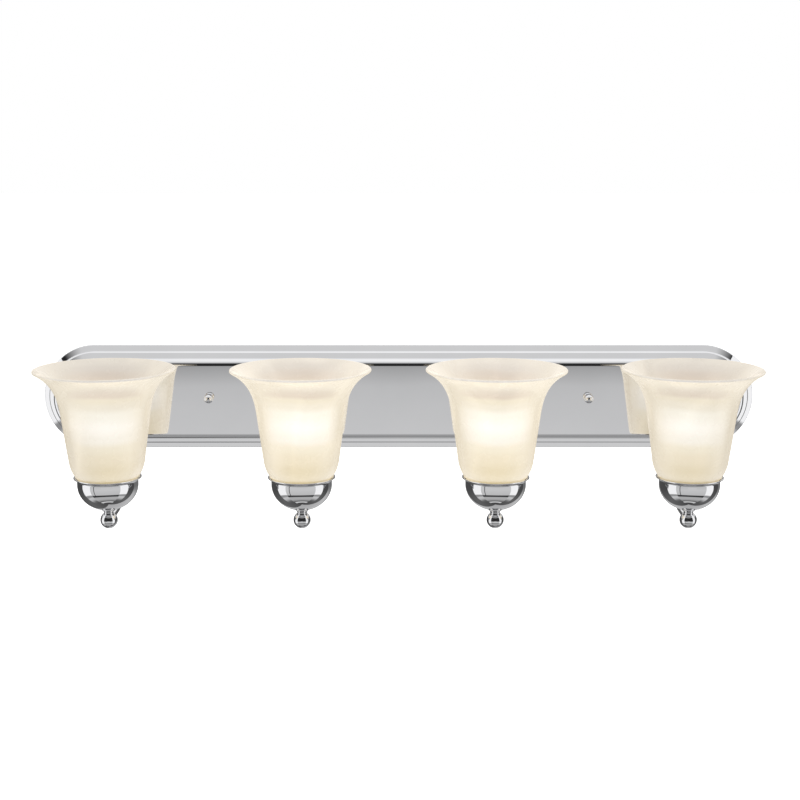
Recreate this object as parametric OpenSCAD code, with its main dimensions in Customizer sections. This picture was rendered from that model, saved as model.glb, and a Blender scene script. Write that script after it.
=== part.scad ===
// Four-light vanity bar: stepped backplate, curved arms with ball hubs, spun cups, flared glass shades.
// X runs along the bar, -Y out of the wall into the room, +Z up. The origin is on the wall plane,
// midway between the two junction box screws. Lengths are in millimetres.

/* [Backplate] */
// Overall length of the backplate
plate_len = 864; // [820:2:920]
// Overall height of the backplate
plate_h = 127; // [122:1:134]
// Distance from the wall to the face of the panel
plate_depth = 25; // [22:0.5:30]
// Thickness of the pressed steel
sheet_t = 1; // [0.8:0.1:1.5]
// Width of each lower tier, seen from the front
tier_w = 7; // [6.5:0.25:7.5]
// Slope of the tiers' faces, away from the wall plane
tier_slope = 31; // [26:1:33]
// Rounding of the outer tier's edge
tier1_round = 1.5; // [1:0.25:2]
// Rounding of the middle tier's edge
tier2_round = 4; // [3:0.25:4.5]
// Rounding of the panel's edge
panel_round = 7.5; // [5:0.5:8]

/* [Lamps] */
// Distance between neighbouring lamps
lamp_pitch = 224; // [210:2:230]
// Distance from the wall to a lamp's axis
lamp_reach = 122; // [118:1:130]
// Outer radius of an arm tube
arm_r = 4; // [3.8:0.1:4.3]
// Wall of an arm tube
arm_wall = 0.8; // [0.8:0.1:1]
// Radius of an arm's bends, on the tube's centre line
arm_bend = 22; // [18:1:24]

/* [Glass shade] */
// Radius of the rim
rim_r = 81; // [76:1:84]
// Height of the outer edge of the rim
rim_z = 51.5; // [49:0.5:54]
// Wall of the glass
glass_t = 3; // [2.5:0.25:3.5]
// Radius of the hole in the glass's floor
fitter_r = 21; // [20.8:0.1:21.5]

/* [Cup and ball hub] */
// Outer radius of the cup's straight wall
cup_r = 35; // [34.9:0.1:36]
// Radius of the cup's flared lip
lip_r = 39; // [38.8:0.1:40]
// Depth of the cup's bowl below its straight wall
bowl_drop = 30.5; // [30:0.1:31]
// Diameter of the ball under the cup
ball_d = 20; // [19.5:0.5:21]

/* [Wall fixing] */
// Distance between the junction box screws
box_pitch = 88.9; // [84:0.1:92]
// Radius of the junction box screw holes
box_hole_r = 2.4; // [2.2:0.1:2.6]
// Distance between the two knobs
knob_pitch = 457.2; // [440:0.2:480]
// Height of the knobs above the plate's centre line
knob_z = 2.5; // [0:0.5:4]
// Diameter of a ball knob
knob_d = 11.2; // [10.8:0.1:12.4]

/* [Hidden] */
$fn = 96;

eps = 0.01;             // overcut that keeps a cut through a face clean
far = 1;                // overcut where a tool runs well past a face
thread_gap = 0.05;      // radial running clearance of a screwed pair
seat_gap = 0.3;         // gap between pieces that lift apart

// Backplate
end_r = plate_h / 2;
straight_len = plate_len - plate_h;
tier1_wall = 0.8;
tier2_wall = 1;
tier2_r = end_r - tier_w;
tier3_r = tier2_r - tier_w - 0.5;
tier2_depth = slope_end(end_r, 0, tier1_wall, tier1_round, tier2_r);
tier3_depth = slope_end(tier2_r, tier2_depth, tier2_wall, tier2_round, tier3_r);
arm_hole_r = arm_r + 0.3;
stud_r = 2;
stud_hole_r = 2.6;

// Lamp stack, heights measured from the centre line of the plate
lamps = [0 : 3];
cup_seam_z = -81;
lip_z = -72.5;
lip_foot_z = -77;
cup_wall = 1;
flange_r = 8.15;
flange_z = cup_seam_z - bowl_drop * sqrt(1 - pow(flange_r / cup_r, 2));
waist_r = 5.5;
waist_drop = 4.6;       // from the flange to the foot of the neck's flare
ball_r = ball_d / 2;
ball_z = -123.7;
cavity_r = 3;           // wireway in the ball
pipe_r = 4;             // threaded nipple, M8 x 1
pipe_bore_r = 2.6;
pipe_low_z = -116;
pipe_top_z = -96;
cup_nut_h = 4;
glass_floor_z = -80;
socket_low_z = -101;
socket_step_z = -92;
socket_top_z = -60;
socket_r = 19.9;
socket_foot_r = 15;
collar_r = 24.5;        // shoulder the glass rests on
collar_z = glass_floor_z - seat_gap;
shell_r = 14;
shell_t = 0.5;
shell_low_z = -89;
shell_top_z = -64;
ring_r = 24.5;
ring_h = 5.5;
ring_low_z = glass_floor_z + glass_t + seat_gap;
bulb_tip_z = -88.5;
bulb_base_r = 13;
bulb_base_top_z = -63;
bulb_r = 30;
bulb_centre_z = -10;
bulb_wall = 0.8;

// Arm route in the YZ plane
arm_seat = 5;           // from the lamp's axis to the arm's end in the ball
arm_end_y = -10;
arm_low_z = ball_z;
arm_high_z = 0;
bend2_y = -28;
riser_y = bend2_y - arm_bend;
bend1_y = riser_y - arm_bend;

// Wall bar
bar_len = 490;
bar_h = 25;
bar_t = 1.6;
supply_hole_r = 7;
ground_x = 75;
ground_screw_r = 2;
knob_r = knob_d / 2;

// Wiring
wire_r = 0.9;
wire_sides = 8;
wire_gap = 1.15;        // half the distance between the two leads in a tube
run_y = -8;             // depth of the leads behind the panel
run_z = 17;             // height of the outer lamps' leads
run_step = 3.5;         // drop of the inner lamps' leads
cap_mouth_x = 62;
cap_len = 22;
lead_end_x = 52;

function lamp_x(i) = (i - 1.5) * lamp_pitch;

// Points on an arc, from angle a to angle b in n steps
function arc(cx, cy, r, a, b, n = 12) =
    [for (k = [0 : n]) let (t = a + (b - a) * k / n) [cx + r * cos(t), cy + r * sin(t)]];

// Cubic Bezier curve through four control points, and its unit normal to the left
function bez(p, t) =
    p[0] * pow(1 - t, 3) + 3 * p[1] * t * pow(1 - t, 2) + 3 * p[2] * t * t * (1 - t) + p[3] * t * t * t;
function bez_dir(p, t) =
    (p[1] - p[0]) * pow(1 - t, 2) + 2 * (p[2] - p[1]) * t * (1 - t) + (p[3] - p[2]) * t * t;
function left_of(d) = [-d[1], d[0]] / norm(d);
function bez_line(p, n, off = 0) =
    [for (k = [0 : n]) let (t = k / n) bez(p, t) + off * left_of(bez_dir(p, t))];
function reversed(v) = [for (i = [len(v) - 1 : -1 : 0]) v[i]];

// ---------------------------------------------------------------- backplate

// Depth at which a tier's sloping face meets the next tier
function slope_end(r, depth, wall, round, next_r) =
    depth + wall + round * cos(tier_slope) + (r - round + round * sin(tier_slope) - next_r) * tan(tier_slope);

// Rounded edge and sloping face of one tier, pulled in by t
function tier(r, depth, wall, round, t) =
    concat([[r - t, max(depth - t, 0)]],
        [for (q = arc(r - round, depth + wall, round, 0, 90 - tier_slope, 6)) q - [t, t]]);

// Section of the stepped wall from the wall plane to the panel, pulled in by t:
// x is the distance from the plate's centre line, y the distance from the wall
function plate_line(t) = concat(
    [[end_r - t, 0]],
    [for (q = tier(end_r, 0, tier1_wall, tier1_round, t)) if (q[1] > 0) q],
    [[tier2_r - t, tier2_depth - t]],
    [for (q = tier(tier2_r, tier2_depth, tier2_wall, tier2_round, t)) if (q[1] > tier2_depth - t) q],
    [[tier3_r - t, tier3_depth - t]],
    arc(tier3_r - panel_round, plate_depth - panel_round, panel_round - t, 0, 90, 12),
    [[0, plate_depth - t]]
);

module plate_section() {
    polygon(concat(plate_line(0), reversed(plate_line(sheet_t))));
}

// Turns a section's second axis out of the wall
module out_of_wall() {
    rotate([90, 0, 0]) children();
}

module backplate() {
    color("silver") difference() {
        union() {
            for (s = [-1, 1])
                translate([s * straight_len / 2, 0, 0])
                    out_of_wall()
                        rotate([0, 0, s > 0 ? -90 : 90])
                            rotate_extrude(angle = 180)
                                plate_section();
            translate([-straight_len / 2, 0, 0])
                rotate([90, 0, 90])
                    linear_extrude(straight_len)
                        for (m = [0, 1])
                            mirror([0, m, 0])
                                rotate(90)
                                    plate_section();
        }
        for (i = lamps)
            translate([lamp_x(i), 0, arm_high_z])
                out_of_wall()
                    cylinder(r = arm_hole_r, h = plate_depth + far);
        for (s = [-1, 1])
            translate([s * knob_pitch / 2, 0, knob_z])
                out_of_wall()
                    cylinder(r = stud_hole_r, h = plate_depth + far);
    }
}

// ---------------------------------------------------------------- wall fixing

module mounting_bar() {
    drill = bar_t + 2 * far;
    color("gainsboro") difference() {
        translate([-bar_len / 2, -bar_t, -bar_h / 2])
            cube([bar_len, bar_t, bar_h]);
        translate([0, far, 0])
            out_of_wall() {
                for (s = [-1, 1]) {
                    translate([s * box_pitch / 2, 0, 0]) cylinder(r = box_hole_r, h = drill);
                    translate([s * knob_pitch / 2, knob_z, 0]) cylinder(r = stud_r + thread_gap, h = drill);
                }
                cylinder(r = supply_hole_r, h = drill);
                translate([ground_x, 0, 0]) cylinder(r = ground_screw_r + thread_gap, h = drill);
            }
    }
}

module bar_studs() {
    stud_len = plate_depth + knob_r;
    color("silver") for (s = [-1, 1])
        translate([s * knob_pitch / 2, 0, knob_z])
            out_of_wall()
                cylinder(r = stud_r, h = stud_len);
}

module hex_nut(across_flats, bore_r, h) {
    difference() {
        cylinder(d = across_flats / cos(30), h = h, $fn = 6);
        translate([0, 0, -far]) cylinder(r = bore_r, h = h + 2 * far);
    }
}

module stud_nuts() {
    color("silver") for (s = [-1, 1])
        translate([s * knob_pitch / 2, -bar_t, knob_z])
            out_of_wall()
                hex_nut(8, stud_r + thread_gap, 3.2);
}

module ground_screw() {
    head_r = 4;
    head_h = 2.6;
    slot_w = 1;
    color("seagreen") translate([ground_x, 0, 0])
        out_of_wall() difference() {
            union() {
                cylinder(r = ground_screw_r, h = bar_t + head_h);
                translate([0, 0, bar_t]) cylinder(r = head_r, h = head_h);
            }
            translate([-head_r - far, -slot_w / 2, bar_t + head_h - 1]) cube([2 * (head_r + far), slot_w, 2]);
        }
}

// Ball knob on a short collar, screwed on the stud in front of the panel
module knob(s) {
    collar_r = 4.4;
    collar_h = 2.5;
    ball_z = collar_h + knob_r * 0.75;
    color("silver") translate([s * knob_pitch / 2, -plate_depth - 0.1, knob_z])
        out_of_wall() difference() {
            union() {
                cylinder(r = collar_r, h = collar_h);
                translate([0, 0, ball_z]) sphere(r = knob_r);
            }
            translate([0, 0, -20]) cylinder(r = 20, h = 20);
            translate([0, 0, -far]) cylinder(r = stud_r + thread_gap, h = knob_r + 1 + far);
        }
}

// ---------------------------------------------------------------- wiring

function unit(v) = v / norm(v);
function path_dir(p, i) =
    unit(p[min(i + 1, len(p) - 1)] - p[max(i - 1, 0)]);
// Side vectors carried along the path without twist
function sides(p, i) =
    let (t = path_dir(p, i), prev = i == 0 ? [1, 0, 0] : sides(p, i - 1),
         base = i == 0 && abs(t[0]) > 0.9 ? [0, 1, 0] : prev)
    unit(base - t * (base * t));

module lead(p, r = wire_r) {
    n = len(p);
    rings = [for (i = [0 : n - 1])
        let (u = sides(p, i), v = cross(path_dir(p, i), u))
        for (k = [0 : wire_sides - 1])
            let (a = 360 * k / wire_sides) p[i] + r * (cos(a) * u + sin(a) * v)];
    walls = [for (i = [0 : n - 2], k = [0 : wire_sides - 1])
        let (a = i * wire_sides, b = a + wire_sides, m = (k + 1) % wire_sides)
        for (f = [[a + k, b + m, a + m], [a + k, b + k, b + m]]) f];
    first = [for (k = [0 : wire_sides - 1]) k];
    last = [for (k = [wire_sides - 1 : -1 : 0]) (n - 1) * wire_sides + k];
    polyhedron(concat(rings), concat(walls, [first], [last]));
}

// Route of one lead: down the nipple, through the ball, along the arm, out behind the panel and in to
// its connector.
// side is +1 for the upper, black leads and -1 for the lower, white ones
function lead_path(i, side) =
    let (x = lamp_x(i), s = sign(x), off = x + side * wire_gap,
         inner = abs(x) < lamp_pitch, zr = side * (run_z - (inner ? run_step : 0)),
         knee = arc(-lamp_reach + 2.6, arm_low_z + 2.6, 2.6, 180, 270, 4),
         bend1 = arc(bend1_y, arm_low_z + arm_bend, arm_bend, 270, 360, 6),
         bend2 = arc(bend2_y, arm_high_z - arm_bend, arm_bend, 180, 90, 6))
    concat(
        [[off, -lamp_reach, pipe_top_z + 2]],
        [for (q = concat(knee, bend1, bend2)) [off, q[0], q[1]]],
        [[off, arm_end_y - 2, arm_high_z]],
        [[x - s * 1.5, run_y - 0.8, arm_high_z + side * 2]],
        [[x - s * 6, run_y, side * 7]],
        [[x - s * 14, run_y, zr - side * 3]],
        [[x - s * 24, run_y, zr]],
        [[s * lead_end_x, run_y, zr]]
    );

module wire_black() {
    color("dimgray") for (i = lamps) lead(lead_path(i, 1));
}

module wire_white() {
    color("ivory") for (i = lamps) lead(lead_path(i, -1));
}

// Copper pigtail from beside the ground screw to its connector
ground_path = [[75, -5.2, 5], [68, -6, 6], [58, -8, 6], [44, -9, 6], [32, -9, 3], [24, -9, 0], [12, -9, 0]];

module ground_wire() {
    color("peru") lead(ground_path, 0.8);
}

// Twist-on connector, its mouth at z = 0
module twist_cap() {
    difference() {
        cylinder(r1 = 7.4, r2 = 4.6, h = cap_len);
        translate([0, 0, -far]) cylinder(r = 4.4, h = 14 + far);
    }
}

module wire_connectors() {
    color("chocolate") {
        for (s = [-1, 1], side = [-1, 1])
            translate([s * cap_mouth_x, run_y - 0.5, side * (run_z - run_step / 2)])
                rotate([0, -s * 90, 0])
                    twist_cap();
        translate([20, -9, 0]) rotate([0, -90, 0]) twist_cap();
    }
}

// ---------------------------------------------------------------- arms

// Solid bar of radius r along the arm's route, from its seat in the ball to its threaded end,
// run on by over at both ends
module arm_core(r, over) {
    start_y = -lamp_reach + arm_seat - over;
    rise = arm_high_z - arm_low_z - 2 * arm_bend;
    translate([0, start_y, arm_low_z]) rotate([-90, 0, 0]) cylinder(r = r, h = bend1_y - start_y);
    translate([0, bend1_y, arm_low_z + arm_bend]) rotate([0, 90, 0]) rotate_extrude(angle = 90)
        translate([arm_bend, 0]) circle(r = r);
    translate([0, riser_y, arm_low_z + arm_bend]) cylinder(r = r, h = rise);
    translate([0, bend2_y, arm_high_z - arm_bend]) rotate([0, 90, 180]) rotate([0, 0, 90])
        rotate_extrude(angle = 90) translate([arm_bend, 0]) circle(r = r);
    translate([0, bend2_y, arm_high_z]) rotate([-90, 0, 0]) cylinder(r = r, h = arm_end_y - bend2_y + over);
}

module arm(i) {
    color("silver") translate([lamp_x(i), 0, 0]) difference() {
        arm_core(arm_r, 0);
        arm_core(arm_r - arm_wall, far);
    }
}

module check_rings() {
    ring_edge_r = 11;
    color("silver") for (i = lamps)
        translate([lamp_x(i), -plate_depth, arm_high_z])
            out_of_wall()
                rotate_extrude() polygon(concat(
                    [[arm_hole_r, 0], [ring_edge_r, 0], [ring_edge_r, 0.8]],
                    arc(8, 1, 2.6, 0, 90, 6), [[arm_hole_r, 3.6]]
                ));
}

module arm_washers() {
    color("gainsboro") for (i = lamps)
        translate([lamp_x(i), -plate_depth + sheet_t + 1, arm_high_z])
            out_of_wall() difference() {
                cylinder(r = 10, h = 1);
                translate([0, 0, -far]) cylinder(r = arm_hole_r, h = 1 + 2 * far);
            }
}

module arm_nuts() {
    nut_h = 5;
    color("gainsboro") for (i = lamps)
        translate([lamp_x(i), -plate_depth + sheet_t + 1 + nut_h, arm_high_z])
            out_of_wall()
                hex_nut(14, arm_r + thread_gap, nut_h);
}

// ---------------------------------------------------------------- lamp holders

// Ball hub: a flared neck over a ball, bored for the nipple from above and the arm from behind
module hub(i) {
    color("silver") translate([lamp_x(i), -lamp_reach, 0]) difference() {
        union() {
            rotate_extrude() polygon(concat(
                [[0, flange_z], [flange_r, flange_z], [flange_r, flange_z - 0.8]],
                bez_line([[flange_r - 0.2, flange_z - 0.9], [flange_r - 1, flange_z - 1.4],
                    [waist_r + 0.1, flange_z - 2.8], [waist_r, flange_z - waist_drop]], 8),
                [[waist_r, ball_z], [0, ball_z]]
            ));
            translate([0, 0, ball_z]) sphere(r = ball_r);
        }
        translate([0, 0, pipe_low_z]) cylinder(r = pipe_r + thread_gap, h = flange_z - pipe_low_z + far);
        translate([0, 0, ball_z - cavity_r]) cylinder(r = cavity_r, h = pipe_low_z - ball_z + cavity_r + eps);
        translate([0, 0, arm_low_z]) rotate([-90, 0, 0]) {
            cylinder(r = cavity_r, h = ball_r + far);
            translate([0, 0, arm_seat]) cylinder(r = arm_r + thread_gap, h = ball_r + far);
        }
    }
}

module threaded_nipples() {
    color("goldenrod") for (i = lamps)
        translate([lamp_x(i), -lamp_reach, pipe_low_z]) difference() {
            cylinder(r = pipe_r, h = pipe_top_z - pipe_low_z);
            translate([0, 0, -far]) cylinder(r = pipe_bore_r, h = pipe_top_z - pipe_low_z + 2 * far);
        }
}

// Section of the spun cup from its hole to its lip, moved in by t
function cup_line(t) = concat(
    [[pipe_r + 0.2, flange_z + t], [flange_r, flange_z + t]],
    [for (a = [75 : -7.5 : 0]) [(cup_r - t) * cos(a), cup_seam_z - (bowl_drop - t) * sin(a)]],
    [[cup_r - t, lip_foot_z]],
    bez_line([[cup_r, lip_foot_z + 0.3], [cup_r + 0.3, lip_foot_z + 2.6],
        [lip_r - 2.2, lip_z - 1.2], [lip_r, lip_z]], 8, t)
);

module cup(i) {
    color("silver") translate([lamp_x(i), -lamp_reach, 0])
        rotate_extrude() polygon(concat(cup_line(0), reversed(cup_line(cup_wall))));
}

module cup_nuts() {
    color("goldenrod") for (i = lamps)
        translate([lamp_x(i), -lamp_reach, flange_z + cup_wall])
            hex_nut(13, pipe_r + thread_gap, cup_nut_h);
}

module socket_body(i) {
    chamber_r = 9;
    color("whitesmoke") translate([lamp_x(i), -lamp_reach, 0])
        rotate_extrude() polygon([
            [pipe_r + thread_gap, socket_low_z], [socket_foot_r, socket_low_z],
            [socket_foot_r, socket_step_z],
            [socket_r, socket_step_z + 2], [socket_r, collar_z - 5], [collar_r, collar_z - 3],
            [collar_r, collar_z], [socket_r, collar_z],
            [socket_r, socket_top_z - 1], [socket_r - 1, socket_top_z],
            [shell_r + 0.3, socket_top_z], [shell_r + 0.3, shell_low_z - 0.3], [chamber_r, shell_low_z - 0.3],
            [chamber_r, pipe_top_z], [pipe_r + thread_gap, pipe_top_z]
        ]);
}

module socket_shell(i) {
    floor_hole_r = shell_r - 3;
    inner_r = shell_r - shell_t;
    color("goldenrod") translate([lamp_x(i), -lamp_reach, 0])
        rotate_extrude() polygon([
            [floor_hole_r, shell_low_z], [shell_r, shell_low_z], [shell_r, shell_top_z],
            [inner_r, shell_top_z], [inner_r, shell_low_z + shell_t], [floor_hole_r, shell_low_z + shell_t]
        ]);
}

// Centre contact: a bent strip that stands on the chamber's floor beside the nipple
module socket_contacts() {
    strip_w = 4;
    tab_z = bulb_tip_z - seat_gap;
    color("goldenrod") for (i = lamps)
        translate([lamp_x(i), -lamp_reach - strip_w / 2, 0])
            rotate([90, 0, 0]) mirror([0, 0, 1]) linear_extrude(strip_w)
                polygon([
                    [-8.5, pipe_top_z], [-4.6, pipe_top_z], [-4.6, pipe_top_z + 0.5], [-8, pipe_top_z + 0.5],
                    [-8, tab_z - 1.5], [-2, tab_z - 0.5], [2.5, tab_z - 0.5], [2.5, tab_z],
                    [-2.2, tab_z], [-8.5, tab_z - 1.2]
                ]);
}

// ---------------------------------------------------------------- glass shade

// Outside of the glass: the flared bell down to the straight taper, then the rounded foot
bell = [[rim_r, rim_z], [62, 41], [54, 26], [51, 2]];
taper_end = [43.5, -52];
foot = [taper_end, [42.5, -64], [33.5, glass_floor_z], [24, glass_floor_z]];

module glass_shade(i) {
    outside = concat(bez_line(bell, 20), bez_line(foot, 14));
    inside = concat(bez_line(bell, 20, -glass_t), bez_line(foot, 14, -glass_t));
    color("oldlace") translate([lamp_x(i), -lamp_reach, 0])
        rotate_extrude() polygon(concat(
            outside, [[fitter_r, glass_floor_z], [fitter_r, glass_floor_z + glass_t]], reversed(inside)
        ));
}

module shade_ring(i) {
    flutes = 16;
    color("white") translate([lamp_x(i), -lamp_reach, ring_low_z]) difference() {
        cylinder(r = ring_r, h = ring_h);
        translate([0, 0, -far]) cylinder(r = socket_r + thread_gap, h = ring_h + 2 * far);
        for (k = [1 : flutes])
            rotate(k * 360 / flutes) translate([ring_r + 1, 0, -far]) cylinder(r = 2, h = ring_h + 2 * far);
    }
}

// ---------------------------------------------------------------- bulb

// Outside of the bulb's envelope, from its neck to its top
function bulb_line(t) = concat(
    [[12 - t, bulb_base_top_z - 6], [12 - t, bulb_base_top_z]],
    bez_line([[bulb_base_r, bulb_base_top_z + 1], [bulb_base_r + 1, -48], [25.4, -38], [27.2, -22.7]], 10, t),
    arc(0, bulb_centre_z, bulb_r - t, -22, 89, 16),
    [[0, bulb_centre_z + bulb_r - t]]
);

module bulb_glass(i) {
    color("ivory") translate([lamp_x(i), -lamp_reach, 0])
        rotate_extrude() polygon(concat(bulb_line(0), reversed(bulb_line(bulb_wall))));
}

module bulb_base(i) {
    color("lightgray") translate([lamp_x(i), -lamp_reach, 0])
        rotate_extrude() polygon([
            [0, bulb_tip_z], [4.6, bulb_tip_z], [4.8, bulb_tip_z + 1.4], [5.6, bulb_tip_z + 1.4],
            [11, bulb_tip_z + 5], [bulb_base_r, bulb_tip_z + 6], [bulb_base_r, bulb_base_top_z],
            [12.05, bulb_base_top_z], [12.05, bulb_tip_z + 8], [0, bulb_tip_z + 8]
        ]);
}

// ---------------------------------------------------------------- assembly

backplate();
mounting_bar();
bar_studs();
stud_nuts();
ground_screw();
ground_wire();
wire_black();
wire_white();
wire_connectors();
knob(-1);  // knob_left
knob(1);  // knob_right
check_rings();
arm_washers();
arm_nuts();
threaded_nipples();
cup_nuts();
socket_contacts();
for (i = lamps) {
    arm(i);
    hub(i);
    cup(i);
    socket_body(i);
    socket_shell(i);
    glass_shade(i);
    shade_ring(i);
    bulb_glass(i);
    bulb_base(i);
}
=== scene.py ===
"""Vanity light bar: chrome plate, arms and cups, and lit white glass shades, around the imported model."""
import math

import bmesh
import bpy
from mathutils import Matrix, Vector

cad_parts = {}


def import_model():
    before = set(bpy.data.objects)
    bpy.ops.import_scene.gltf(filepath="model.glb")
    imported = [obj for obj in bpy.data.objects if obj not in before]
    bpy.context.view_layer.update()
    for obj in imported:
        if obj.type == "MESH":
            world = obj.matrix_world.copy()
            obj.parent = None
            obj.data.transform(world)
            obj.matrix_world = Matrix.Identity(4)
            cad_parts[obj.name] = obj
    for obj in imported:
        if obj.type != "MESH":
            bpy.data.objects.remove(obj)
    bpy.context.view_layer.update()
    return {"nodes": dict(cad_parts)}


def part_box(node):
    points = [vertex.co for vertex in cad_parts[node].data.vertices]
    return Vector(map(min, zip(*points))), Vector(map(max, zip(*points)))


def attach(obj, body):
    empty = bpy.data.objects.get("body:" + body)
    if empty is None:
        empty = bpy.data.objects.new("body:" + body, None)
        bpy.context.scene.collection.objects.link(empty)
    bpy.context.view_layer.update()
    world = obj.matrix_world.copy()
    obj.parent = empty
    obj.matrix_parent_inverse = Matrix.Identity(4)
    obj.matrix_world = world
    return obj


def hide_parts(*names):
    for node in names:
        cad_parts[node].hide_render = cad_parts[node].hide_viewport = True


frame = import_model()
NODES = frame["nodes"]
MM = 0.001
TAU = 2 * math.pi

# ------------------------------------------------------------------ sizes from the frame

LAMPS = (1, 2, 3, 4)
PLATE_LO, PLATE_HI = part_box("backplate")
PLATE_LEN = (PLATE_HI.x - PLATE_LO.x) / MM
END_R = PLATE_HI.z / MM
PLATE_DEPTH = -PLATE_LO.y / MM
SHEET_T = 1.0
TIER_W = 7.0
TIER_SLOPE = math.radians(31)
PANEL_ROUND = 7.5


def centre(node):
    lo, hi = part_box(node)
    return (lo + hi) / 2


LAMP_AT = {i: Vector((centre(f"cup_{i}").x, centre(f"cup_{i}").y, 0)) for i in LAMPS}
LAMP_Y = LAMP_AT[1].y / MM

# ------------------------------------------------------------------ outlines


def arc(cx, cy, r, a, b, n):
    """Points on an arc from angle a to angle b, in degrees."""
    steps = [math.radians(a + (b - a) * k / n) for k in range(n + 1)]
    return [(cx + r * math.cos(t), cy + r * math.sin(t)) for t in steps]


def bezier(p, n, off=0.0):
    """Points on a cubic Bezier curve, moved off along its left normal."""
    out = []
    for k in range(n + 1):
        t = k / n
        s = 1 - t
        at = [s ** 3 * p[0][c] + 3 * s * s * t * p[1][c] + 3 * s * t * t * p[2][c] + t ** 3 * p[3][c]
              for c in (0, 1)]
        d = [s * s * (p[1][c] - p[0][c]) + 2 * s * t * (p[2][c] - p[1][c]) + t * t * (p[3][c] - p[2][c])
             for c in (0, 1)]
        size = math.hypot(*d)
        out.append((at[0] - off * d[1] / size, at[1] + off * d[0] / size))
    return out


def supported(line, gap=0.3, closed=False):
    """The outline with a point close to each end of every long straight stretch, which keeps it flat."""
    out = []
    n = len(line)
    for i in range(n):
        a, b = line[i], line[(i + 1) % n]
        out.append(a)
        if i == n - 1 and not closed:
            break
        size = math.dist(a, b)
        if size > 4 * gap:
            for f in (gap / size, 1 - gap / size):
                out.append((a[0] + (b[0] - a[0]) * f, a[1] + (b[1] - a[1]) * f))
    return out


def dedupe(line):
    """The outline without points that lie on the one before."""
    out = []
    for p in line:
        if not out or math.dist(p, out[-1]) > 1e-4:
            out.append(p)
    return out


# ------------------------------------------------------------------ meshes


def make_object(name, verts, faces, sharp=35):
    mesh = bpy.data.meshes.new(name)
    mesh.from_pydata(verts, [], faces)
    mesh.update()
    bm = bmesh.new()
    bm.from_mesh(mesh)
    bmesh.ops.remove_doubles(bm, verts=bm.verts, dist=1e-6)
    bmesh.ops.recalc_face_normals(bm, faces=bm.faces)
    bm.to_mesh(mesh)
    bm.free()
    finish_shading(mesh, sharp)
    obj = bpy.data.objects.new(name, mesh)
    bpy.context.scene.collection.objects.link(obj)
    return obj


def finish_shading(mesh, sharp):
    mesh.polygons.foreach_set("use_smooth", [True] * len(mesh.polygons))
    mesh.set_sharp_from_angle(angle=math.radians(sharp))


def lathe(name, line, at=(0, 0, 0), turns=96, axis="Z", closed=False, radius=None, sharp=35):
    """Turns an outline of (radius, height) in millimetres about an axis through a point in metres.
    radius(r, h, angle) may change a point's radius, for a thread or flutes."""
    line = dedupe(line)
    verts, rings = [], []
    for r, h in line:
        if r < 1e-6:
            rings.append([len(verts)])
            verts.append(place(0, 0, h, at, axis))
            continue
        ring = []
        for k in range(turns):
            a = TAU * k / turns
            q = radius(r, h, a) if radius else r
            ring.append(len(verts))
            verts.append(place(q * math.cos(a), q * math.sin(a), h, at, axis))
        rings.append(ring)
    faces = []
    pairs = list(zip(rings, rings[1:])) + ([(rings[-1], rings[0])] if closed else [])
    for low, high in pairs:
        for k in range(turns):
            m = (k + 1) % turns
            if len(low) == 1 and len(high) == 1:
                continue
            if len(low) == 1:
                faces.append((low[0], high[k], high[m]))
            elif len(high) == 1:
                faces.append((low[k], high[0], low[m]))
            else:
                faces.append((low[k], high[k], high[m], low[m]))
    return make_object(name, verts, faces, sharp)


def place(u, v, h, at, axis):
    """A point beside an axis: Z stands up, Y stands out of the wall, X runs along the bar."""
    u, v, h = u * MM, v * MM, h * MM
    if axis == "Z":
        return (at[0] + u, at[1] + v, at[2] + h)
    if axis == "Y":
        return (at[0] + u, at[1] - h, at[2] + v)
    return (at[0] + h, at[1] + v, at[2] + u)


def sweep(name, path, r, at=(0, 0, 0), sides=24, side=(1, 0, 0), cap=True):
    """A round bar of radius r along a path in millimetres, with its frame carried along."""
    pts = [Vector(p) * MM + Vector(at) for p in path]
    verts, faces = [], []
    u = Vector(side)
    for i, p in enumerate(pts):
        d = (pts[min(i + 1, len(pts) - 1)] - pts[max(i - 1, 0)]).normalized()
        u = (u - d * u.dot(d)).normalized()
        v = d.cross(u)
        for k in range(sides):
            a = TAU * k / sides
            verts.append(p + (u * math.cos(a) + v * math.sin(a)) * r * MM)
    for i in range(len(pts) - 1):
        for k in range(sides):
            a, b, m = i * sides, (i + 1) * sides, (k + 1) % sides
            faces.append((a + k, a + m, b + m, b + k))
    if cap:
        faces.append(tuple(range(sides)))
        faces.append(tuple((len(pts) - 1) * sides + k for k in range(sides)))
    return make_object(name, verts, faces)


def use(obj, material, body, slot, *nodes):
    """Gives a piece its material and body, and hides the CAD nodes that it stands for. The slot argument is
    not used.
    """
    obj.data.materials.clear()
    obj.data.materials.append(material)
    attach(obj, body)
    if nodes:
        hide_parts(*nodes)
    return obj


# ------------------------------------------------------------------ materials


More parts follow.
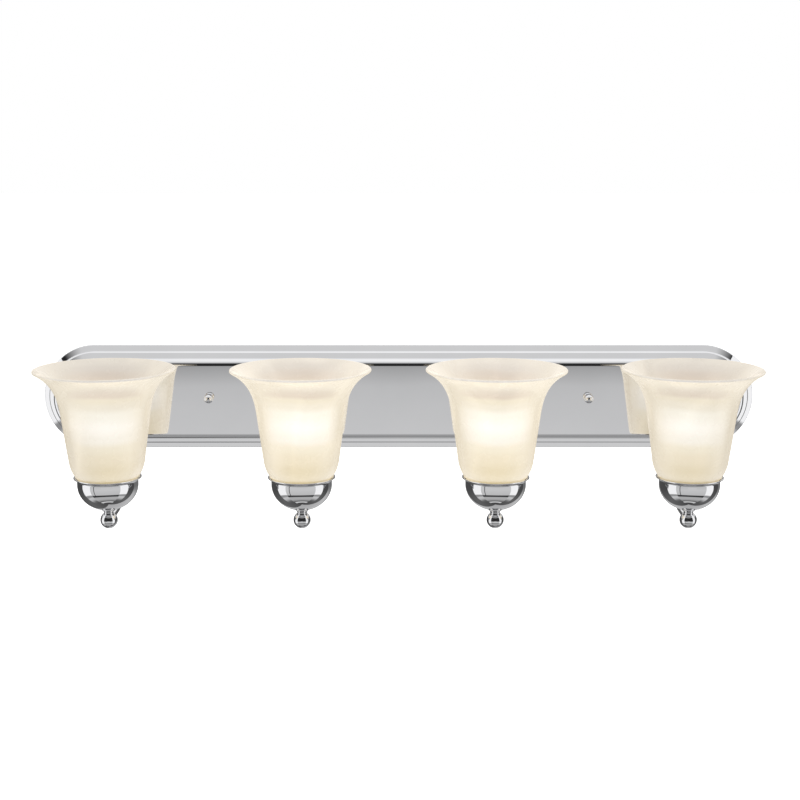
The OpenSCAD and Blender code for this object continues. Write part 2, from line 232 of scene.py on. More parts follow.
class Build:
    """A material's node tree, with short calls for the nodes it needs."""

    def __init__(self, name):
        self.material = bpy.data.materials.new(name)
        self.material.use_nodes = True
        self.tree = self.material.node_tree
        self.bsdf = self.tree.nodes["Principled BSDF"]
        self.place = None

    def node(self, kind, **values):
        n = self.tree.nodes.new(kind)
        for key, value in values.items():
            setattr(n, key, value)
        return n

    def link(self, a, b):
        self.tree.links.new(a, b)

    def set(self, **values):
        for key, value in values.items():
            self.bsdf.inputs[key.replace("_", " ")].default_value = value

    def at(self):
        """Object coordinates, in metres and fixed to the model."""
        if self.place is None:
            self.place = self.node("ShaderNodeTexCoord").outputs["Object"]
        return self.place

    def scaled(self, x, y, z):
        m = self.node("ShaderNodeMapping")
        m.inputs["Scale"].default_value = (x, y, z)
        self.link(self.at(), m.inputs["Vector"])
        return m.outputs["Vector"]

    def noise(self, vector, scale, detail=3.0, rough=0.5, distortion=0.0):
        n = self.node("ShaderNodeTexNoise")
        n.inputs["Scale"].default_value = scale
        n.inputs["Detail"].default_value = detail
        n.inputs["Roughness"].default_value = rough
        n.inputs["Distortion"].default_value = distortion
        self.link(vector, n.inputs["Vector"])
        return n.outputs["Fac"]

    def ramp(self, factor, stops, mode="LINEAR"):
        r = self.node("ShaderNodeValToRGB")
        r.color_ramp.interpolation = mode
        els = r.color_ramp.elements
        while len(els) < len(stops):
            els.new(0.5)
        for el, (pos, colour) in zip(els, stops):
            el.position = pos
            c = colour if isinstance(colour, (tuple, list)) else (colour,) * 3
            el.color = (*c, 1)
        self.link(factor, r.inputs["Fac"])
        return r.outputs["Color"]

    def math(self, op, a, b=None):
        m = self.node("ShaderNodeMath", operation=op)
        for value, socket in ((a, m.inputs[0]), (b, m.inputs[1])):
            if value is None:
                continue
            if isinstance(value, (int, float)):
                socket.default_value = value
            else:
                self.link(value, socket)
        return m.outputs[0]

    def spread(self, factor, low, high):
        m = self.node("ShaderNodeMapRange")
        m.inputs["To Min"].default_value = low
        m.inputs["To Max"].default_value = high
        self.link(factor, m.inputs["Value"])
        return m.outputs["Result"]

    def mix(self, factor, a, b, blend="MIX"):
        m = self.node("ShaderNodeMix", data_type="RGBA", blend_type=blend)
        for value, socket in ((factor, m.inputs[0]), (a, m.inputs[6]), (b, m.inputs[7])):
            if isinstance(value, (int, float)):
                socket.default_value = value
            elif isinstance(value, tuple):
                socket.default_value = (*value, 1)
            else:
                self.link(value, socket)
        return m.outputs[2]

    def bump(self, height, strength, distance):
        b = self.node("ShaderNodeBump")
        b.inputs["Strength"].default_value = strength
        b.inputs["Distance"].default_value = distance
        self.link(height, b.inputs["Height"])
        self.link(b.outputs["Normal"], self.bsdf.inputs["Normal"])


def metal(name, base, dark, rough, grain, bump=0.0, scale=40.0):
    """A metal whose colour and polish vary a little over its surface."""
    b = Build(name)
    b.set(Metallic=1.0)
    n = b.noise(b.at(), scale, 4.0, 0.6)
    b.link(b.mix(n, base, dark), b.bsdf.inputs["Base Color"])
    b.link(b.spread(b.noise(b.at(), scale * 3, 2.0), rough, rough + grain), b.bsdf.inputs["Roughness"])
    if bump:
        b.bump(b.noise(b.at(), scale * 8, 2.0), bump, 0.0002)
    return b.material


def chrome():
    """Bright plating: a mirror with a faint haze and the slight waviness of pressed sheet."""
    b = Build("chrome_plate")
    b.set(Metallic=1.0)
    haze = b.noise(b.at(), 18.0, 5.0, 0.6)
    b.link(b.mix(haze, (0.90, 0.90, 0.915), (0.84, 0.845, 0.86)), b.bsdf.inputs["Base Color"])
    b.link(b.spread(b.noise(b.at(), 60.0, 3.0), 0.008, 0.03), b.bsdf.inputs["Roughness"])
    b.bump(b.noise(b.at(), 9.0, 1.0), 0.05, 0.002)
    return b.material


def plastic(name, base, rough, bump=0.05, scale=900.0):
    b = Build(name)
    shade = b.noise(b.at(), 120.0, 3.0)
    darker = tuple(c * 0.82 for c in base)
    b.link(b.mix(shade, base, darker), b.bsdf.inputs["Base Color"])
    b.link(b.spread(b.noise(b.at(), scale, 2.0), rough - 0.06, rough + 0.08), b.bsdf.inputs["Roughness"])
    b.bump(b.noise(b.at(), scale, 2.0), bump, 0.0002)
    return b.material


# Painted glow: emission colour that stands in for the bulb's light through the glass, by height in
# millimetres from its foot to its rim; the darker band from 33 to 46 mm is painted shade near the rim
GLOW = [(-80, (0.38, 0.27, 0.05)), (-64, (0.41, 0.30, 0.08)), (-41, (0.53, 0.43, 0.24)),
        (-30, (0.58, 0.50, 0.33)), (-20, (0.67, 0.62, 0.52)), (-5, (0.76, 0.72, 0.64)),
        (10, (0.69, 0.65, 0.54)), (20, (0.57, 0.50, 0.36)), (27, (0.52, 0.43, 0.25)),
        (33, (0.27, 0.15, 0.06)), (38, (0.20, 0.10, 0.04)), (46, (0.22, 0.18, 0.17)),
        (51, (0.38, 0.35, 0.32))]
GLOW_LOW, GLOW_HIGH = -85.0, 60.0
# Painted light: the inside of the flare faces up and sees the bulb directly, so it is painted brighter in
# this colour
GLOW_INSIDE, INSIDE_SHARE = (0.68, 0.62, 0.55), 0.5
# Painted edge shade: the glow turns to this duller colour where the glass faces away from the view
GLOW_EDGE = (0.48, 0.40, 0.26)
# Painted glow share of the two outer shades, painted dimmer than the middle two
OUTER_SHADES_GLOW = 0.88


def alabaster(i):
    """White glass with faint swirls; the warm bulb's light through it is painted on as emission."""
    b = Build(f"alabaster_glass_{i}")
    drawn = b.scaled(1.0, 1.0, 0.45)
    swirl = b.noise(drawn, 13.0, 1.0, 0.4, 1.2)
    veil = b.ramp(swirl, [(0.3, 0.0), (0.5, 1.0), (0.7, 0.2)], "EASE")
    b.link(b.mix(veil, (0.41, 0.405, 0.395), (0.43, 0.425, 0.415)), b.bsdf.inputs["Base Color"])
    b.link(b.spread(b.noise(b.at(), 70.0, 2.0), 0.22, 0.32), b.bsdf.inputs["Roughness"])
    b.set(IOR=1.45, Coat_Weight=0.15, Coat_Roughness=0.15)
    xyz = b.node("ShaderNodeSeparateXYZ")
    b.link(b.at(), xyz.inputs[0])
    sway = b.math("MULTIPLY", b.math("SUBTRACT", swirl, 0.5), 8 * MM)
    height = b.math("ADD", xyz.outputs["Z"], sway)
    span = (GLOW_HIGH - GLOW_LOW) * MM
    # Painted glow: the emission colour is looked up by height in the table above
    level = b.math("DIVIDE", b.math("SUBTRACT", height, GLOW_LOW * MM), span)
    glow = b.ramp(level, [((z - GLOW_LOW) / (GLOW_HIGH - GLOW_LOW), c) for z, c in GLOW], "EASE")
    # Painted edge shade: towards the silhouette the painted glow turns to the duller edge colour
    facing = b.node("ShaderNodeLayerWeight")
    facing.inputs["Blend"].default_value = 0.35
    rim = b.ramp(facing.outputs["Facing"], [(0.02, 0.0), (0.12, 0.3), (0.42, 1.0)])
    # Painted light: upward-facing surfaces, the inside of the flare, get the brighter inside glow colour
    normal = b.node("ShaderNodeSeparateXYZ")
    b.link(b.node("ShaderNodeNewGeometry").outputs["Normal"], normal.inputs[0])
    inside = b.ramp(normal.outputs["Z"], [(0.05, 0.0), (0.25, INSIDE_SHARE)], "EASE")
    b.link(b.mix(inside, b.mix(rim, glow, GLOW_EDGE), GLOW_INSIDE), b.bsdf.inputs["Emission Color"])
    # The outer shades' painted glow is turned down
    lamp = OUTER_SHADES_GLOW if i in (1, 4) else 1.0
    b.link(b.spread(veil, 0.96 * lamp, 1.03 * lamp), b.bsdf.inputs["Emission Strength"])
    b.bump(b.noise(drawn, 12.0, 1.0, 0.4, 0.5), 0.01, 0.001)
    return b.material


def bulb_coating():
    """Soft white envelope of a lit bulb."""
    b = Build("bulb_soft_white")
    b.set(Roughness=0.35, Emission_Strength=0.6)
    b.link(b.mix(b.noise(b.at(), 60.0, 2.0), (0.62, 0.60, 0.56), (0.60, 0.58, 0.53)),
           b.bsdf.inputs["Base Color"])
    b.link(b.mix(b.noise(b.at(), 30.0, 2.0), (1.0, 0.86, 0.62), (1.0, 0.82, 0.56)),
           b.bsdf.inputs["Emission Color"])
    return b.material


CHROME = chrome()
ZINC = metal("zinc_plate", (0.66, 0.66, 0.62), (0.52, 0.53, 0.52), 0.28, 0.22, 0.2)
BRASS = metal("brass", (0.80, 0.60, 0.28), (0.66, 0.48, 0.22), 0.22, 0.2, 0.1)
COPPER = metal("bare_copper", (0.85, 0.48, 0.30), (0.62, 0.32, 0.20), 0.25, 0.25, 0.1)
CAP_METAL = metal("bulb_cap_metal", (0.82, 0.82, 0.80), (0.66, 0.66, 0.64), 0.2, 0.2, 0.1)
GREEN = metal("green_screw_finish", (0.10, 0.42, 0.18), (0.06, 0.28, 0.12), 0.3, 0.2, 0.1)
PORCELAIN = plastic("socket_porcelain", (0.86, 0.85, 0.81), 0.22, 0.03, 300.0)
WHITE_PLASTIC = plastic("ring_plastic", (0.84, 0.83, 0.79), 0.42)
BLACK_WIRE = plastic("black_insulation", (0.03, 0.03, 0.032), 0.38)
WHITE_WIRE = plastic("white_insulation", (0.82, 0.82, 0.79), 0.4)
ORANGE = plastic("connector_plastic", (0.80, 0.26, 0.05), 0.42)
BULB = bulb_coating()

# ------------------------------------------------------------------ backplate

TIER1 = (0.8, 1.5)
TIER2 = (1.0, 4.0)


def tier(r, depth, wall, round_r, next_r, t):
    """One tier's rounded edge and sloping face, pulled in by t, and the depth where the next begins."""
    edge = arc(r - round_r, depth + wall, round_r, 0, 90 - math.degrees(TIER_SLOPE), 12)
    x, y = edge[-1]
    end = y + (x - next_r) * math.tan(TIER_SLOPE)
    line = [(r, depth)] + edge + [(next_r, end)]
    return [(p - t, q - t) for p, q in line], end


def plate_line(t):
    """Section of the stepped wall from the wall plane to the panel: distance from the centre line, depth."""
    r2 = END_R - TIER_W
    r3 = r2 - TIER_W - 0.5
    first, d2 = tier(END_R, 0, *TIER1, r2, t)
    second = tier(r2, d2, *TIER2, r3, t)[0]
    first = [(END_R - t, 0)] + [q for q in first if q[1] > 0]
    second = [q for q in second if q[1] > d2 - t]
    edge = arc(r3 - PANEL_ROUND, PLATE_DEPTH - PANEL_ROUND, PANEL_ROUND - t, 0, 90, 24)
    return first + second + edge


def stadium(h, depth, turns):
    """One loop of the plate's outline, half of its height being h."""
    mid = PLATE_LEN / 2 - END_R
    pts = []
    for side in (1, -1):
        for k in range(turns + 1):
            a = math.radians(-90 + 180 * k / turns) + (0 if side > 0 else math.pi)
            pts.append((side * mid * MM + h * math.cos(a) * MM, -depth * MM, h * math.sin(a) * MM))
    return pts


def backplate():
    turns = 64
    front = supported(dedupe(plate_line(0)), 0.25)
    back = supported(dedupe(plate_line(SHEET_T)), 0.25)
    verts, faces = [], []
    loops = []
    front.append((front[-1][0] - 0.4, front[-1][1]))
    back.append((back[-1][0] - 0.4, back[-1][1]))
    for h, d in front[::-1] + back:
        loop = stadium(h, d, turns)
        loops.append(list(range(len(verts), len(verts) + len(loop))))
        verts += loop
    n = len(loops[0])
    for a, b in zip(loops, loops[1:]):
        for k in range(n):
            m = (k + 1) % n
            faces.append((a[k], b[k], b[m], a[m]))
    faces.append(tuple(loops[0]))
    faces.append(tuple(loops[-1]))
    plate = make_object("backplate_pressing", verts, faces)
    drill(plate)
    return use(plate, CHROME, "fixture", "chrome", "backplate")


def drill(plate):
    """Cuts the arm and stud holes through the panel."""
    holes = [(LAMP_AT[i].x, 0.0, 4.3) for i in LAMPS]
    holes += [(centre(n).x, centre(n).z, 2.6) for n in ("knob_left", "knob_right")]
    low, high = PLATE_DEPTH - 6, PLATE_DEPTH + 6
    cut(plate, [lathe(f"drill_{k}", [(0, low), (r, low), (r, high), (0, high)], (x, 0, z), 48, "Y")
                for k, (x, z, r) in enumerate(holes)])


def cut(obj, cutters):
    """Takes the cutters' solids away from a piece."""
    for cutter in cutters:
        mod = obj.modifiers.new(cutter.name, "BOOLEAN")
        mod.operation = "DIFFERENCE"
        mod.object = cutter
        mod.solver = "EXACT"
    apply_modifiers(obj)
    for cutter in cutters:
        bpy.data.objects.remove(cutter, do_unlink=True)


def apply_modifiers(obj):
    deps = bpy.context.evaluated_depsgraph_get()
    mesh = bpy.data.meshes.new_from_object(obj.evaluated_get(deps))
    old = obj.data
    obj.modifiers.clear()
    obj.data = mesh
    bpy.data.meshes.remove(old)
    finish_shading(mesh, 35)


# ------------------------------------------------------------------ lamp pieces

CUP_R, LIP_R = 35.0, 39.0
SEAM_Z, BOWL_DROP = -81.0, 30.5
LIP_FOOT_Z, LIP_Z = -77.0, -72.5
FLANGE_R = 8.15
FLANGE_Z = SEAM_Z - BOWL_DROP * math.sqrt(1 - (FLANGE_R / CUP_R) ** 2)
WAIST_R, BALL_R, BALL_Z = 5.5, 9.98, -123.7
PIPE_LOW_Z, PIPE_HOLE_R, CAVITY_R = -116.0, 4.05, 3.0
ARM_R, ARM_WALL, ARM_SEAT = 4.0, 0.8, 5.0


def cup_line(t):
    """Outside of the spun cup from its hole up to its lip, moved in by t."""
    bowl = [((CUP_R - t) * math.cos(a), SEAM_Z - (BOWL_DROP - t) * math.sin(a))
            for a in (math.radians(75 * (1 - k / 40)) for k in range(41))]
    lip = bezier([(CUP_R, LIP_FOOT_Z + 0.3), (CUP_R + 0.3, LIP_FOOT_Z + 2.6), (LIP_R - 2.2, LIP_Z - 1.2),
                  (LIP_R, LIP_Z)], 16, t)
    return [(4.2, FLANGE_Z + t), (FLANGE_R, FLANGE_Z + t)] + bowl + [(CUP_R - t, LIP_FOOT_Z)] + lip


CUP_T = 1.0


def cup(i):
    edge = supported(cup_line(0), 0.3)
    inner = supported(cup_line(CUP_T), 0.3)
    bead = arc(LIP_R - 0.8, LIP_Z - 0.1, 0.8, -135, 135, 18)
    piece = lathe(f"cup_spinning_{i}", edge[:-4] + bead + inner[-5::-1], LAMP_AT[i], 128, closed=True)
    return use(piece, CHROME, "fixture", "chrome", f"cup_{i}")


def hub(i):
    """Ball hub, bored for the nipple from above and for the arm from behind."""
    neck = bezier([(FLANGE_R - 0.1, FLANGE_Z - 0.9), (FLANGE_R - 1, FLANGE_Z - 1.4),
                   (WAIST_R + 0.1, FLANGE_Z - 2.8), (WAIST_R, FLANGE_Z - 4.3)], 16)
    ball = arc(0, BALL_Z, BALL_R, 55.5, -90, 56)
    ball[-1] = (0, BALL_Z - BALL_R)
    line = [(0, BALL_Z - CAVITY_R), (CAVITY_R, BALL_Z - CAVITY_R), (CAVITY_R, PIPE_LOW_Z),
            (PIPE_HOLE_R, PIPE_LOW_Z), (PIPE_HOLE_R, FLANGE_Z), (FLANGE_R - 0.3, FLANGE_Z),
            (FLANGE_R, FLANGE_Z - 0.3), (FLANGE_R, FLANGE_Z - 0.7)]
    piece = lathe(f"hub_turning_{i}", line + neck + ball, LAMP_AT[i], 96)
    bore = [(0, 0), (CAVITY_R, 0), (CAVITY_R, -ARM_SEAT), (ARM_R + 0.05, -ARM_SEAT), (ARM_R + 0.05, -12),
            (0, -12)]
    cut(piece, [lathe(f"bore_{i}", bore, LAMP_AT[i] + Vector((0, 0, BALL_Z * MM)), 48, "Y")])
    return use(piece, CHROME, "fixture", "chrome", f"hub_{i}")


ARM_BEND, ARM_LOW_Z, ARM_END_Y = 22.0, BALL_Z, -10.0
BEND2_Y = -28.0
BEND1_Y = BEND2_Y - 2 * ARM_BEND


def arm_route(start_y, end_y, steps=20):
    """Centre line of an arm in the YZ plane, from the ball to its threaded end."""
    low = arc(BEND1_Y, ARM_LOW_Z + ARM_BEND, ARM_BEND, 270, 360, steps)
    high = arc(BEND2_Y, -ARM_BEND, ARM_BEND, 180, 90, steps)
    return [(start_y, ARM_LOW_Z)] + low + high + [(end_y, 0)]


def arm(i):
    route = [(0, y, z) for y, z in arm_route(LAMP_Y + ARM_SEAT, ARM_END_Y)]
    at = (LAMP_AT[i].x, 0, 0)
    outer = sweep(f"arm_tube_{i}", route, ARM_R, at, 40, cap=False)
    inner = sweep(f"arm_bore_{i}", route, ARM_R - ARM_WALL, at, 40, cap=False)
    piece = join_tube(outer, inner, 40, len(route))
    return use(piece, CHROME, "fixture", "chrome", f"arm_{i}")


def join_tube(outer, inner, sides, rings):
    """Makes one open-ended pipe out of an outer and an inner skin."""
    bm = bmesh.new()
    bm.from_mesh(outer.data)
    bm.from_mesh(inner.data)
    bm.verts.ensure_lookup_table()
    total = sides * rings
    for start in (0, sides * (rings - 1)):
        for k in range(sides):
            m = (k + 1) % sides
            a, b = bm.verts[start + k], bm.verts[start + m]
            c, d = bm.verts[total + start + m], bm.verts[total + start + k]
            bm.faces.new((a, b, c, d))
    bmesh.ops.recalc_face_normals(bm, faces=bm.faces)
    bm.to_mesh(outer.data)
    bm.free()
    finish_shading(outer.data, 35)
    bpy.data.objects.remove(inner, do_unlink=True)
    return outer


BELL = [(81.0, 51.5), (62.0, 41.0), (54.0, 26.0), (51.0, 2.0)]
TAPER_END = (43.5, -52.0)
FOOT = [TAPER_END, (42.5, -64.0), (33.5, -80.0), (24.0, -80.0)]
GLASS_T = 3.0


# Room for the rounded rim inside the glass's box
RIM_SETBACK = 0.8


def glass_shade(i, material):
    outside = bezier(BELL, 40) + bezier(FOOT, 28)
    inside = bezier(BELL, 40, -GLASS_T) + bezier(FOOT, 28, -GLASS_T)
    for side in (outside, inside):
        (ax, az), (bx, bz) = side[:2]
        share = RIM_SETBACK / math.hypot(bx - ax, bz - az)
        side[0] = (ax + (bx - ax) * share, az + (bz - az) * share)
    (ax, az), (bx, bz) = outside[0], inside[0]
    lean = math.degrees(math.atan2(az - bz, ax - bx))
    rim = arc((ax + bx) / 2, (az + bz) / 2, GLASS_T / 2, lean, lean + 180, 12)[1:-1]
    floor = [(21.5, -80.0), (21.0, -79.5), (21.0, -77.5), (21.5, -77.0)]
    line = rim[::-1] + outside + floor + inside[::-1]
    piece = lathe(f"shade_bell_{i}", supported(line, 0.6, True), LAMP_AT[i], 144, closed=True)
    return use(piece, material, f"shade_{i}", "alabaster_glass", f"glass_shade_{i}")


def thread(pitch, depth, low, high):
    """Radius change of a rolled round thread between two heights."""

    def radius(r, h, a):
        if not low < h < high:
            return r
        fade = min(1.0, (h - low) / pitch, (high - h) / pitch)
        return r - depth * fade * (0.5 - 0.5 * math.cos(TAU * h / pitch - a))

    return radius


def steps(low, high, size):
    n = max(1, round(abs(high - low) / size))
    return [low + (high - low) * k / n for k in range(n + 1)]


def socket(i):
    low, step, top, r = -101.0, -92.0, -60.0, 19.9
    collar_r, collar_z = 24.5, -80.3
    cuts = thread(2.6, 0.8, collar_z + 1, top - 1)
    line = [(4.1, low), (14.5, low), (15.0, low + 0.5), (15.0, step), (r, step + 2), (r, collar_z - 5),
            (collar_r, collar_z - 3), (collar_r, collar_z - 0.4), (collar_r - 0.4, collar_z), (r, collar_z)]
    line += [(r, z) for z in steps(collar_z + 1, top - 1, 0.35)]
    line += [(r - 1, top), (14.8, top), (14.3, top - 0.5), (14.3, -89.3), (9.0, -89.3), (9.0, -96.0),
             (4.1, -96.0)]
    body = lathe(f"socket_moulding_{i}", line, LAMP_AT[i], 72, closed=True, sharp=40,
                 radius=lambda q, h, a: cuts(q, h, a) if q > r - 0.5 else q)
    use(body, PORCELAIN, "fixture", "porcelain", f"socket_body_{i}")
    dent = thread(3.6, 0.5, -87.0, -65.0)
    skin = [(13.9, z) for z in steps(-88.4, -64.4, 0.45)]
    inner = [(13.5, z) for z in steps(-64.0, -88.0, 0.45)]
    shell = lathe(f"socket_screw_shell_{i}", [(11.2, -89.0), (13.6, -89.0)] + skin + inner + [(11.2, -88.5)],
                  LAMP_AT[i], 72, closed=True, sharp=60,
                  radius=lambda q, h, a: dent(q, h, a) if q > 13.2 else q)
    return use(shell, BRASS, "fixture", "brass", f"socket_shell_{i}")


def shade_ring(i):
    low, h, r, bore = -76.7, 5.5, 24.4, 19.95
    line = [(bore, low), (r - 0.6, low), (r, low + 0.6), (r, low + h - 0.8), (r - 0.8, low + h),
            (bore + 0.5, low + h), (bore, low + h - 0.5)]

    def flutes(q, z, a):
        return q - 0.9 * max(0.0, math.cos(16 * a)) ** 3 if q > r - 1.5 else q

    piece = lathe(f"shade_ring_nut_{i}", line, LAMP_AT[i], 192, closed=True, radius=flutes)
    return use(piece, WHITE_PLASTIC, f"ring_{i}", "white_plastic", f"shade_ring_{i}")


def bulb(i):
    neck = bezier([(13.0, -62.0), (14.0, -48.0), (25.4, -38.0), (27.2, -22.7)], 20)
    light_z, globe_r = -10.0, 30.0
    dome = arc(0, light_z, globe_r, -22, 90, 48)
    dome[-1] = (0, light_z + globe_r)
    glass = lathe(f"bulb_envelope_{i}", [(0, -69.0), (12.0, -69.0), (12.0, -63.0)] + neck + dome, LAMP_AT[i],
                  96)
    use(glass, BULB, f"bulb_{i}", "bulb_glass", f"bulb_glass_{i}")
    turn = thread(3.6, 0.6, -82.0, -65.0)
    line = [(0, -88.5), (3.8, -88.5), (4.6, -88.0), (4.8, -87.1), (5.6, -87.1), (11.0, -83.5), (12.4, -82.9)]
    line += [(13.0, z) for z in steps(-82.2, -64.2, 0.45)]
    line += [(12.6, -63.4), (12.05, -63.0), (12.05, -80.5), (0, -80.5)]
    cap = lathe(f"bulb_screw_cap_{i}", line, LAMP_AT[i], 72, sharp=60,
                radius=lambda q, h, a: turn(q, h, a) if q > 12.5 else q)
    return use(cap, CAP_METAL, f"bulb_{i}", "bulb_cap", f"bulb_base_{i}")


# ------------------------------------------------------------------ knobs, rings and wiring


def knob(side, name):
    at = centre(name)
    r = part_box(name)[1].x / MM - at.x / MM
    collar_r, collar_h = 4.4, 2.5
    middle = collar_h + 0.75 * r
    start = -math.degrees(math.acos(collar_r / r))
    ball = arc(0, middle, r, start, 90, 36)
    ball[-1] = (0, middle + r)
    line = [(2.05, r + 0.9), (2.05, 0), (collar_r - 0.3, 0), (collar_r, 0.3),
            (collar_r, ball[0][1] - 0.05)] + ball
    line = [(0, r + 0.9)] + line
    line = [(q, h + PLATE_DEPTH + 0.1) for q, h in line]
    piece = lathe(f"ball_{name}", line, (at.x, 0, at.z), 72, "Y")
    return use(piece, CHROME, f"knob_{side}_ball", "chrome", name)


def check_rings():
    for i in LAMPS:
        dome = arc(8.0, 1.0, 2.6, 0, 90, 14)
        line = [(4.3, 0), (10.7, 0), (11.0, 0.3), (11.0, 0.8)] + dome + [(4.7, 3.6), (4.3, 3.2)]
        line = [(r, h + PLATE_DEPTH) for r, h in line]
        ring = lathe(f"check_ring_{i}", supported(line), (LAMP_AT[i].x, 0, 0), 72, "Y", closed=True)
        use(ring, CHROME, "fixture", "chrome", "check_rings")


WIRE_R, WIRE_GAP = 0.9, 1.15
RUN_Y, RUN_Z, RUN_STEP, LEAD_END_X = -8.0, 17.0, 3.5, 52.0


def rounded(points, passes=3):
    """A route with its corners cut, pass by pass, into a smooth line."""
    for _ in range(passes):
        out = [points[0]]
        for a, b in zip(points, points[1:]):
            out += [tuple(a[c] + (b[c] - a[c]) * f for c in range(3)) for f in (0.25, 0.75)]
        points = out + [points[-1]]
    return points


def leads(name, side, material, slot, node):
    for i in LAMPS:
        x = LAMP_AT[i].x / MM
        s = 1 if x > 0 else -1
        off = x + side * WIRE_GAP
        inner = i in (2, 3)
        height = side * (RUN_Z - (RUN_STEP if inner else 0))
        knee = arc(LAMP_Y + 2.6, ARM_LOW_Z + 2.6, 2.6, 180, 270, 8)
        tube = [(off, y, z) for y, z in [(LAMP_Y, -94.0)] + knee + arm_route(BEND1_Y - 20, ARM_END_Y - 4)]
        tail = [(off, ARM_END_Y - 2, 0), (x - s * 1.5, RUN_Y - 0.8, side * 2.0),
                (x - s * 6, RUN_Y, side * 7.0), (x - s * 14, RUN_Y, height - side * 3),
                (x - s * 24, RUN_Y, height),
                (s * LEAD_END_X, RUN_Y, height)]
        piece = sweep(f"{name}_{i}", tube + rounded(tail), WIRE_R, sides=12)
        use(piece, material, "fixture", slot, node)


def ground_wire():
    route = [(75, -5.2, 5), (68, -6, 6), (58, -8, 6), (44, -9, 6), (32, -9, 3), (24, -9, 0), (12, -9, 0)]
    piece = sweep("ground_pigtail", rounded(route), 0.8, sides=12, side=(0, 0, 1))
    return use(piece, COPPER, "fixture", "copper", "ground_wire")


def connectors():
    spots = [(s * 62, RUN_Y - 0.5, side * (RUN_Z - RUN_STEP / 2), s) for s in (-1, 1) for side in (-1, 1)]
    spots.append((20, -9, 0, 1))
    for k, (x, y, z, s) in enumerate(spots):
        line = [(4.4, 14.0), (4.4, 0.6), (5.0, 0.0), (7.0, 0.0), (7.4, 0.5), (7.1, 3.0), (6.9, 3.2),
                (4.9, 20.6),
                (4.0, 21.9), (0, 22.0)]
        line = [(0, 14.0)] + line

        def ribs(q, h, a):
            return q - 0.35 * (0.5 + 0.5 * math.cos(12 * a)) if q > 4.5 and 3.1 < h < 20.7 else q

        piece = lathe(f"twist_cap_{k}", [(q, -s * h) for q, h in line], Vector((x, y, z)) * MM, 72, "X",
                      radius=(
            lambda q, h, a, f=ribs: f(q, abs(h), a)))
        use(piece, ORANGE, "fixture", "orange_cap", "wire_connectors")


def keep_cad():
    """Materials for the CAD nodes that stay as they are."""
    kept = {ZINC: ("mounting_bar", "bar_studs", "stud_nuts", "arm_washers", "arm_nuts"),
            BRASS: ("threaded_nipples", "cup_nuts", "socket_contacts"), GREEN: ("ground_screw",)}
    for material, names in kept.items():
        for name in names:
            for s in NODES[name].material_slots:
                s.material = material


# ------------------------------------------------------------------ stage, light and camera


# Brightness of the studio by height above the horizon, in degrees, for each part of the compass
CHEEK = [(-90, 0.07), (-77.4, 0.07), (-76.8, 0.66), (-71, 0.66), (-70.3, 0.10), (-68, 0.10), (-66, 0.24),
         (-56, 0.45),
         (-46, 0.45), (-43.5, 0.05), (-37, 0.04), (-35, 0.55), (-16, 0.60), (-12.9, 0.63), (-12.6, 0.04),
         (32, 0.02),
         (46, 0.66), (62, 0.70), (78, 1.0)]
FRONT = CHEEK[:13] + [(-12.2, 0.63), (-11.5, 0.62), (-10.8, 0.60), (-10.2, 0.59), (-9.9, 0.565), (-9.5, 0.55),
                      (-9.2, 0.47), (-8.9, 0.03)] + CHEEK[-4:]
SEAM = CHEEK[:10] + [(-37, 0.03), (-5, 0.03), (0, 0.02)] + CHEEK[-4:]
SIDES = [(-90, 0.08), (-66, 0.10), (-60, 0.16), (-52, 0.50), (-45, 0.62), (-41, 0.30), (-36, 0.30),
         (-33, 1.0), (90, 1.0)]
BACK = [(-90, 0.42), (-50, 0.50), (-40, 0.55), (-28, 0.45), (-20, 0.25), (-8, 0.10), (6, 0.10), (14, 0.95),
        (90, 1.0)]
FLANK = [(-90, 0.07), (-50, 0.13), (-20, 0.07), (8, 0.07), (30, 0.75), (90, 1.0)]
# Where each part of the compass begins, in degrees from straight ahead, positive to the right
COMPASS = [(-180, BACK), (-160, FLANK), (-100, SIDES), (-61, CHEEK), (-47, SEAM), (-44, CHEEK), (-16, FRONT),
           (16, CHEEK),
           (57, SIDES), (92, FLANK), (126, BACK)]


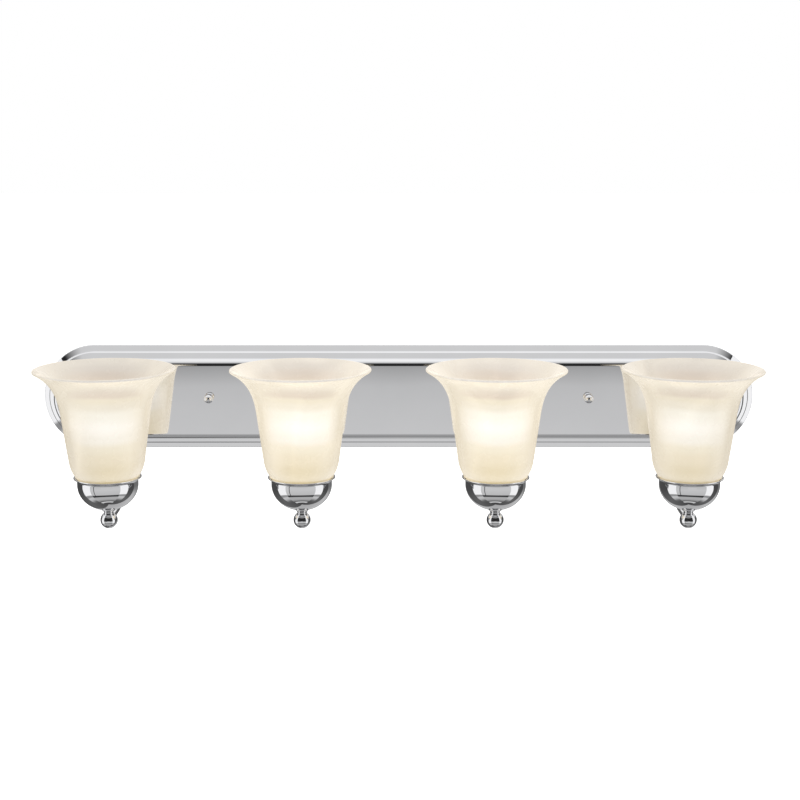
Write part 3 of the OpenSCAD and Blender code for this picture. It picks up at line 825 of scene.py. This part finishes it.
def world():
    """A studio: a grey front under a dark gap, white at the sides and overhead, black flags at the flanks."""
    w = bpy.data.worlds.new("studio")
    bpy.context.scene.world = w
    w.use_nodes = True
    tree = w.node_tree
    tree.nodes.clear()
    b = Build.__new__(Build)
    b.tree, b.place = tree, None
    xyz = b.node("ShaderNodeSeparateXYZ")
    b.link(b.node("ShaderNodeTexCoord").outputs["Generated"], xyz.inputs[0])
    rise = b.math("ADD", b.math("DIVIDE", b.math("ARCSINE", xyz.outputs["Z"]), math.pi), 0.5)
    turn = b.math("ARCTAN2", xyz.outputs["X"], b.math("MULTIPLY", xyz.outputs["Y"], -1.0))
    about = b.math("ADD", b.math("DIVIDE", turn, TAU), 0.5)
    lit = (0.0, 0.0, 0.0)
    for part in (FRONT, CHEEK, SEAM, SIDES, BACK, FLANK):
        mask = []
        for bearing, here in COMPASS:
            mask.append((0.5 + bearing / 360, 1.0 if here is part else 0.0))
        lit = b.mix(b.ramp(about, mask, "CONSTANT"), lit, b.ramp(rise, [(0.5 + h / 180, v) for h, v in part]))
    card = b.node("ShaderNodeBackground")
    b.link(lit, card.inputs["Color"])
    card.inputs["Strength"].default_value = 1.0
    paper = b.node("ShaderNodeBackground")
    paper.inputs["Color"].default_value = (1, 1, 1, 1)
    sight = b.node("ShaderNodeLightPath")
    choose = b.node("ShaderNodeMixShader")
    b.link(sight.outputs["Is Camera Ray"], choose.inputs[0])
    b.link(card.outputs[0], choose.inputs[1])
    b.link(paper.outputs[0], choose.inputs[2])
    out = b.node("ShaderNodeOutputWorld")
    b.link(choose.outputs[0], out.inputs["Surface"])


FLOOR_Z = -1.9


def floor():
    """A plain pale floor, a wall light's height below the bar."""
    verts = [(x, y, FLOOR_Z) for x, y in ((-40, -40), (40, -40), (40, 40), (-40, 40))]
    obj = make_object("studio_floor", verts, [(0, 1, 2, 3)])
    b = Build("pale_floor")
    b.link(b.mix(b.noise(b.at(), 0.6, 2.0), (0.93, 0.93, 0.93), (0.90, 0.90, 0.90)),
           b.bsdf.inputs["Base Color"])
    b.link(b.mix(b.noise(b.at(), 0.6, 2.0), (1, 1, 1), (0.98, 0.98, 0.98)), b.bsdf.inputs["Emission Color"])
    b.set(Roughness=0.9, Emission_Strength=0.75)
    obj.data.materials.append(b.material)
    obj.visible_glossy = False


def camera():
    data = bpy.data.cameras.new("view")
    data.lens = 72
    data.sensor_width = 36
    obj = bpy.data.objects.new("view", data)
    obj.location = (0.0016, -1.9233, 0.3482)
    obj.rotation_euler = (math.radians(79.6), 0, 0)
    bpy.context.scene.collection.objects.link(obj)
    bpy.context.scene.camera = obj


camera()
world()
floor()
bpy.context.scene.view_settings.view_transform = "Standard"

backplate()
for lamp in LAMPS:
    cup(lamp)
    hub(lamp)
    arm(lamp)
    glass_shade(lamp, alabaster(lamp))
    socket(lamp)
    shade_ring(lamp)
    bulb(lamp)
knob("left", "knob_left")
knob("right", "knob_right")
check_rings()
leads("black_lead", 1, BLACK_WIRE, "black_insulation", "wire_black")
leads("white_lead", -1, WHITE_WIRE, "white_insulation", "wire_white")
ground_wire()
connectors()
keep_cad()
